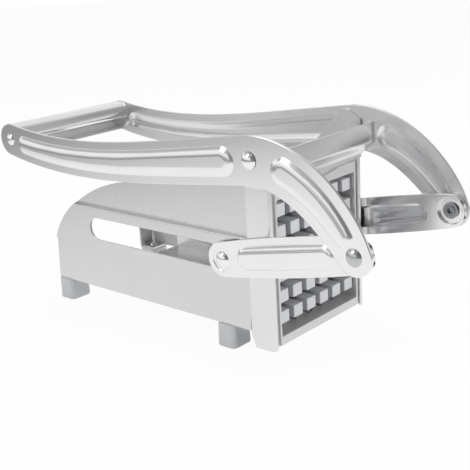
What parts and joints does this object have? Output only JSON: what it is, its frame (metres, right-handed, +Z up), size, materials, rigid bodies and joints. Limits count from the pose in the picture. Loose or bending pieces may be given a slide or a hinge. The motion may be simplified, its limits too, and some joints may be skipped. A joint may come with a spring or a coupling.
{
  "type": "french fry cutter",
  "caption": "Hand-lever french fry cutter in pressed stainless sheet: curved twin-arm handle, side links, pusher of square pegs and a square blade grid, shown closed.",
  "frame": {"origin": "on the table plane, under the middle of the whole cutter", "axes": "+X towards the blade end, +Y towards the left side seen from behind the grip, +Z up"},
  "size_m": [0.2776, 0.0998, 0.1209],
  "materials": {
    "satin_steel": "satin stainless sheet",
    "pressed_steel": "bright pressed stainless sheet",
    "polished_steel": "polished domed rivets and screws",
    "blade_steel": "ground blade strip",
    "peg_plastic": "grey moulded plastic",
    "foot_plastic": "grey non-slip feet"
  },
  "bodies": {
    "base": {"wall_right": "satin_steel", "wall_left": "satin_steel", "floor_tray": "satin_steel", "front_housing": "satin_steel", "hood": "satin_steel", "pivot_rivets": "polished_steel", "foot_front_right": "foot_plastic", "foot_front_left": "foot_plastic", "foot_rear_right": "foot_plastic", "foot_rear_left": "foot_plastic", "foot_screws": "polished_steel", "cartridge_frame": "satin_steel", "blades_upright": "blade_steel", "blades_level": "blade_steel"},
    "pusher": {"peg_block": "peg_plastic", "pusher_carrier": "satin_steel", "carrier_screws": "polished_steel", "cross_pins": "polished_steel", "slot_rollers": "peg_plastic"},
    "handle": {"arm_right": "pressed_steel", "arm_left": "pressed_steel", "grip_channel": "pressed_steel", "grip_tie_rod": "polished_steel", "grip_end_discs": "satin_steel", "grip_screws": "polished_steel", "elbow_rivets": "polished_steel", "elbow_washers": "polished_steel"},
    "right_link": {"link_right": "pressed_steel", "link_rivet_right": "polished_steel"},
    "left_link": {"link_left": "pressed_steel", "link_rivet_left": "polished_steel"}
  },
  "joints": [
    {"name": "handle_pivot", "type": "hinge", "parent": "base", "child": "handle", "pos_m": [0.0681, 0, 0.1081], "axis": [0, 1, 0], "range_deg": [0, 90]},
    {"name": "pusher_slide", "type": "slide", "parent": "base", "child": "pusher", "axis": [-1, 0, 0], "range_m": [0, 0.1022]},
    {"name": "right_link_pivot", "type": "hinge", "parent": "handle", "child": "right_link", "pos_m": [0.1291, -0.0431, 0.0686], "axis": [0, 1, 0], "range_deg": [-76.1, 0]},
    {"name": "left_link_pivot", "type": "hinge", "parent": "handle", "child": "left_link", "pos_m": [0.1291, 0.0431, 0.0686], "axis": [0, 1, 0], "range_deg": [-76.1, 0]}
  ],
  "couplings": [
    {"joint": "pusher_slide", "follows": "handle_pivot", "m_per_rad": 0.06505},
    {"joint": "right_link_pivot", "follows": "handle_pivot", "ratio": -0.8443},
    {"joint": "left_link_pivot", "follows": "handle_pivot", "ratio": -0.8443}
  ]
}
